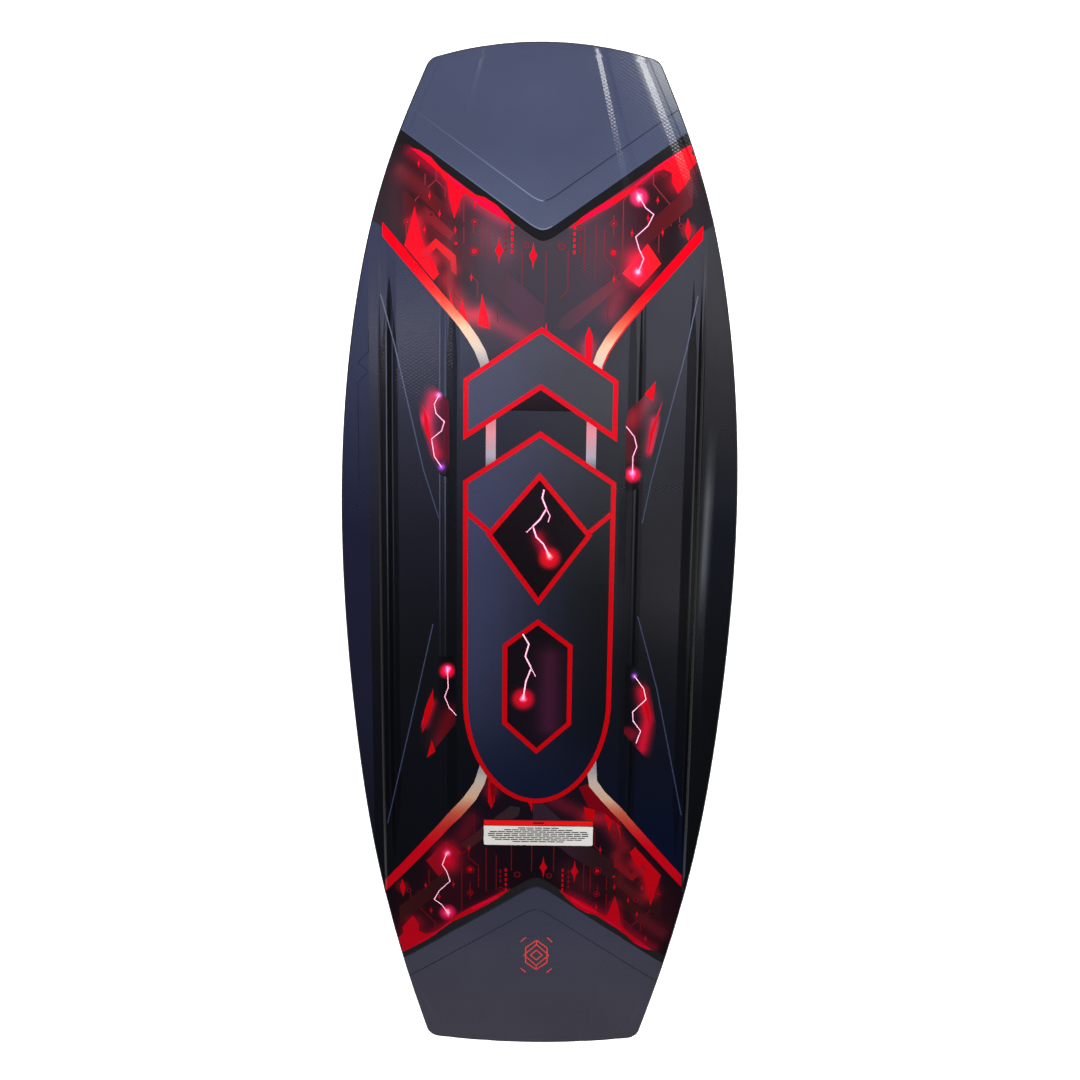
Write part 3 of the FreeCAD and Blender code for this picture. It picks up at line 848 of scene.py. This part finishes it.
class Nodes:
    """Small help for writing node trees."""

    def __init__(self, name):
        self.material = bpy.data.materials.new(name)
        self.material.use_nodes = True
        self.tree = self.material.node_tree
        self.shader = self.tree.nodes["Principled BSDF"]

    def add(self, kind, inputs=None, **settings):
        node = self.tree.nodes.new(kind)
        for key, value in settings.items():
            setattr(node, key, value)
        for key, value in (inputs or {}).items():
            self.put(node.inputs[key], value)
        return node

    def put(self, socket, value):
        if isinstance(value, bpy.types.NodeSocket):
            self.tree.links.new(value, socket)
        else:
            socket.default_value = value

    def math(self, operation, a, b):
        return self.add("ShaderNodeMath", {0: a, 1: b}, operation=operation).outputs[0]

    def noise(self, scale, detail=4.0, vector=None):
        inputs = {"Scale": scale, "Detail": detail, "Vector": vector or self.place()}
        return self.add("ShaderNodeTexNoise", inputs).outputs["Fac"]

    def place(self):
        return self.add("ShaderNodeTexCoord").outputs["Object"]

    def spread(self, value, low, high, start=0.0, end=1.0):
        inputs = {"Value": value, "From Min": start, "From Max": end, "To Min": low, "To Max": high}
        return self.add("ShaderNodeMapRange", inputs).outputs["Result"]

    def blend(self, share, a, b, kind="MIX"):
        node = self.add("ShaderNodeMix", data_type="RGBA", blend_type=kind)
        for key, value in ((0, share), (6, a), (7, b)):
            self.put(node.inputs[key], value)
        return node.outputs[2]

    def bump(self, height, strength, distance):
        inputs = {"Height": height, "Strength": strength, "Distance": distance}
        self.put(self.shader.inputs["Normal"], self.add("ShaderNodeBump", inputs).outputs[0])

    def set(self, **values):
        for key, value in values.items():
            self.put(self.shader.inputs[key.replace("_", " ")], value)


def linear(*colour):
    return (*srgb_to_linear(np.array(colour, float)), 1.0)


def weave(n, pitches):
    """Height of a plain weave; the pitches are of the threads across and along the board."""
    parts = n.add("ShaderNodeSeparateXYZ", {0: n.place()})
    waves = [n.math("SINE", n.math("MULTIPLY", parts.outputs[i], 2 * math.pi / pitch), 0.0)
             for i, pitch in enumerate(pitches)]
    return n.math("MULTIPLY", *waves)


def print_material(name, roughness, gloss, cloth):
    """Printed sheet: the print's colours over woven cloth, under a clear coat."""
    n = Nodes(name)
    colour = n.add("ShaderNodeVertexColor", layer_name="print").outputs["Color"]
    cloudy = n.noise(9, 3)
    fine = n.noise(900, 2)
    threads = weave(n, (0.006, 0.0038))
    for shade in (n.spread(threads, 1 - cloth, 1 + cloth, -1, 1), n.spread(cloudy, 0.93, 1.07, 0.3, 0.7)):
        tint = n.add("ShaderNodeCombineColor", {0: shade, 1: shade, 2: shade}).outputs[0]
        colour = n.blend(1.0, colour, tint, "MULTIPLY")
    rough = n.math("ADD", n.spread(fine, roughness - 0.03, roughness + 0.03), n.spread(cloudy, -0.03, 0.03))
    n.set(Base_Color=colour, Roughness=rough, Coat_Weight=gloss, Coat_Roughness=n.spread(cloudy, 0.08, 0.2))
    n.put(n.shader.inputs["Specular IOR Level"], 0.4)
    height = n.math("ADD", n.math("MULTIPLY", threads, 0.6), n.math("MULTIPLY", fine, 0.12))
    n.bump(height, 0.45, 0.00012)
    return n.material


def plain_material(name, dark, light, roughness, metal=0.0, scale=60.0, bump=0.2, stretch=(1, 1, 1)):
    """Uneven colour, roughness and surface from two noises; stretch draws them out along the grain."""
    n = Nodes(name)
    drawn = n.add("ShaderNodeMapping", {"Vector": n.place(), "Scale": stretch}).outputs[0]
    broad, fine = n.noise(scale, 5, drawn), n.noise(scale * 9, 3, drawn)
    both = n.math("ADD", n.math("MULTIPLY", broad, 0.6), n.math("MULTIPLY", fine, 0.4))
    n.set(Base_Color=n.blend(n.spread(both, 0, 1, 0.3, 0.7), linear(*dark), linear(*light)),
          Roughness=n.spread(fine, roughness - 0.08, roughness + 0.08, 0.2, 0.8), Metallic=metal)
    n.bump(both, bump, 0.0003)
    return n.material


def cover(obj, material, slot, *nodes):
    obj.data.materials.clear()
    obj.data.materials.append(material)
    if nodes:
        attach(obj, "root")
        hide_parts(*nodes)


# ---- pieces


def channel_folds():
    """The lines where the base bends, as long as the board and a little more."""
    middle = np.arange(-430.0, 431, 20)
    y = np.concatenate([np.arange(-600.0, -430, 24), middle, np.arange(454.0, 601, 24)])
    made = []
    for x in (*CHANNELS, CREASE):
        made += [np.stack([side * x * taper(y), y], 1) for side in (-1, 1)]
    return made


def base_folds():
    """The channel lines, cut off at the outline."""
    edge = inset(RIM + 0.4)
    made = []
    for line in channel_folds():
        kept = line[inside(line, edge)]
        if len(kept) > 1:
            made.append(kept)
    return made


FOLDS = base_folds()
# The base's print carries painted shade and highlights as well
base_sheet = printed_sheet("base_skin", inset(RIM), base_print(), side_panel, FOLDS, base_height,
                           thick=1.0, step=3.6, back_step=24)
cover(base_sheet, print_material("printed_base_and_painted_light", 0.16, 0.1, 0.06), "base_print", "base_sheet")

urethane = plain_material("black_urethane", (14, 14, 16), (26, 26, 29), 0.42, scale=90, bump=0.25)
starts = [int(np.argmin(np.linalg.norm(EDGE - spot, axis=1)))
          for spot in ((146.5, -540), (142.5, 540), (-142.5, 540), (-146.5, -540))]
for index, name in enumerate(("rail_right", "nose_rail", "rail_left", "tail_rail")):
    count = (starts[(index + 1) % 4] - starts[index]) % len(EDGE) + 1
    cover(rail(name + "_skin", starts[index], count), urethane, "rail_urethane", name)


def rounded(x0, y0, x1, y1, r):
    corners = ((x1 - r, y0 + r, -90), (x1 - r, y1 - r, 0), (x0 + r, y1 - r, 90), (x0 + r, y0 + r, 180))
    return np.concatenate([arc((x, y), r, start, start + 90, 6) for x, y, start in corners])


def bars(x0, x1, rows, high, shares):
    """Plain rows of short bars in place of small print, each row centred."""
    middle = (x0 + x1) / 2
    made = []
    for y, share in zip(rows, shares):
        left, right = middle - share * (x1 - x0) / 2, middle + share * (x1 - x0) / 2
        cells = max(3, int((right - left) / 9))
        edges = np.linspace(left, right, cells + 1)
        for a, b in zip(edges, edges[1:]):
            made.append([(a + 0.5, y), (b - 0.7, y), (b - 0.7, y + high), (a + 0.5, y + high)])
    return made


def sticker_height(x, y):
    return base_height(x, y) + 0.2


label_shapes = (
    [(rounded(-60.7, -311.2, 67.7, -278.8, 2.2), flat(172, 170, 166)),
     ([(-60.9, -286.4), (67.9, -286.4), (67.9, -278.6), (-60.9, -278.6)], flat(20, 14, 16)),
     ([(-60.3, -285.4), (67.3, -285.4), (67.3, -279.4), (-60.3, -279.4)], flat(180, 8, 10)),
     ([(-3, -283.4), (10, -283.4), (10, -281.4), (-3, -281.4)], flat(60, 6, 8))]
    + filled(bars(-58, 65, [-289.6 - 2.5 * i for i in range(8)], 1.35,
                  (0.40, 0.66, 0.94, 0.97, 0.97, 0.9, 0.84, 0.5)), flat(40, 40, 42))
)
label = printed_sheet("base_label_skin", rounded(-61.4, -311.9, 68.4, -278.1, 2.6), label_shapes,
                      flat(26, 22, 26), [], sticker_height, thick=0.2, step=6, back_step=12)
cover(label, print_material("label_print", 0.4, 0.15, 0.02), "label_vinyl", "base_label")

mark = flat(188, 52, 40)
hexagon = [(3 + 15 * math.cos(math.radians(a)), -461 + 21 * math.sin(math.radians(a)))
           for a in range(30, 390, 60)]
emblem_shapes = (
    lines([hexagon + hexagon[:1]], 1.3, mark)
    + lines([[(-12, -461), (3, -446), (18, -461), (3, -476), (-12, -461)],
             [(3, -440), (3, -446)], [(3, -476), (3, -482)],
             [(-4, -461), (3, -454), (10, -461), (3, -468), (-4, -461)], [(-16, -442), (-10, -436)],
             [(22, -442), (16, -436)], [(-16, -480), (-10, -486)], [(22, -480), (16, -486)]],
            1.2, mark)
)
emblem = printed_sheet("tail_emblem_skin", rounded(-16.8, -487.8, 22.8, -434.2, 3), emblem_shapes,
                       tail_panel, [], sticker_height, thick=0.2, step=6, back_step=12)
cover(emblem, print_material("emblem_print", 0.16, 0.1, 0.06), "emblem_vinyl", "tail_emblem")

wood = plain_material("paulownia", (176, 146, 104), (206, 180, 136), 0.62, scale=26, stretch=(9, 0.6, 9))
block_wood = plain_material("block_wood", (122, 84, 52), (150, 108, 70), 0.6, scale=34, stretch=(6, 0.7, 6))
glass = plain_material("wet_glass", (150, 158, 146), (176, 182, 168), 0.3, scale=160, bump=0.15)
carbon = plain_material("carbon", (18, 18, 20), (34, 34, 37), 0.3, scale=140, stretch=(1, 0.1, 1))
brass = plain_material("turned_brass", (190, 150, 78), (214, 176, 100), 0.28, metal=1.0, scale=220, bump=0.1)
deck = plain_material("deck_print", (30, 31, 36), (46, 47, 54), 0.5, scale=300, bump=0.3)
for node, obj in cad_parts.items():
    for words, material, slot in (
            ("inserts_", brass, "insert_brass"), ("insert_block", block_wood, "insert_block"),
            ("core_", wood, "paulownia"), ("stringer", carbon, "carbon_stringer"),
            ("laminate", glass, "glass_laminate"), ("foot_patch", glass, "glass_patch"),
            ("deck_sheet", deck, "deck_print")):
        if words in node and not obj.hide_render:
            cover(obj, material, slot)
            break

# ---- studio


def floor_material():
    n = Nodes("paper")
    paper = n.noise(3, 2)
    n.set(Base_Color=n.blend(n.spread(paper, 0, 1), linear(250, 250, 250), linear(255, 255, 255)),
          Roughness=n.spread(paper, 0.75, 0.9), Emission_Color=(1, 1, 1, 1), Emission_Strength=0.75)
    n.bump(n.noise(400, 3), 0.05, 0.0002)
    return n.material


def plane(name, size, material):
    mesh = bpy.data.meshes.new(name)
    s = size / 2
    mesh.from_pydata([(-s, -s, 0), (s, -s, 0), (s, s, 0), (-s, s, 0)], [], [(0, 1, 2, 3)])
    mesh.materials.append(material)
    return placed(name, mesh)


floor = plane("floor", 24.0, floor_material())


def softbox(name, place, target, size, power):
    """A rectangular light that faces its target."""
    light = bpy.data.lights.new(name, "AREA")
    light.shape = "RECTANGLE"
    light.size, light.size_y = size
    light.energy = power
    obj = placed(name, light)
    obj.location = place
    obj.rotation_mode = "QUATERNION"
    obj.rotation_quaternion = (Vector(target) - Vector(place)).to_track_quat("-Z", "Y")
    return obj


softbox("nose_light", (0, 4.3, 2.3), (0, 0, 0), (3.4, 1.2), 300).visible_glossy = False
softbox("nose_glint", (1.11, 2.86, 2.6), (0.11, 0.56, 0), (0.69, 0.55), 19)
softbox("corner_glint", (0.86, 2.4, 2.6), (0.11, 0.56, 0), (0.4, 0.42), 2.2)
softbox("left_glint", (-0.4, 0.62, 2.7), (-0.14, 0.29, 0.05), (0.09, 0.18), 0.55)
softbox("right_glint", (0.46, -0.45, 2.7), (0.17, 0, 0.06), (0.16, 0.8), 0.4)
for side in (-1, 1):
    softbox("side_light", (side * 3.8, -0.3, 2.1), (0, 0, 0), (1.0, 3.0), 230).visible_glossy = False

world = bpy.data.worlds.new("studio")
bpy.context.scene.world = world
world.use_nodes = True
tree = world.node_tree
backdrop = tree.nodes["Background"]
backdrop.inputs["Color"].default_value = (1, 1, 1, 1)
heights = tree.nodes.new("ShaderNodeSeparateXYZ")
fade = tree.nodes.new("ShaderNodeMapRange")
fade.interpolation_type = "SMOOTHSTEP"
for socket, value in (("From Min", 0.2), ("From Max", 0.45), ("To Min", 0.9), ("To Max", 0.05)):
    fade.inputs[socket].default_value = value
places = tree.nodes.new("ShaderNodeTexCoord")
tree.links.new(places.outputs["Generated"], heights.inputs[0])
tree.links.new(heights.outputs["Z"], fade.inputs["Value"])
tree.links.new(fade.outputs["Result"], backdrop.inputs["Strength"])

# ---- camera

TARGET = Vector((0, 0.014, 0.066))
DISTANCE = 1.54
TILT = math.radians(11.58)          # leans from straight above towards the nose
ROLL = -0.01227

back = Vector((0, math.sin(TILT), math.cos(TILT)))
up0 = Vector((0, math.cos(TILT), -math.sin(TILT)))
side0 = Vector((1, 0, 0))
right = math.cos(ROLL) * side0 - math.sin(ROLL) * up0
up = math.sin(ROLL) * side0 + math.cos(ROLL) * up0
camera = placed("camera", bpy.data.cameras.new("camera"))
camera.data.sensor_width = 36.0
camera.data.lens = 45.61
camera.data.shift_x = 0.0014
camera.data.shift_y = 0.0345
turn = Matrix((right, up, back)).transposed().to_4x4()
camera.matrix_world = Matrix.Translation(TARGET + back * DISTANCE) @ turn
bpy.context.scene.camera = camera

view = bpy.context.scene.view_settings
view.view_transform = "Standard"
view.look = "None"
view.exposure = 0.0
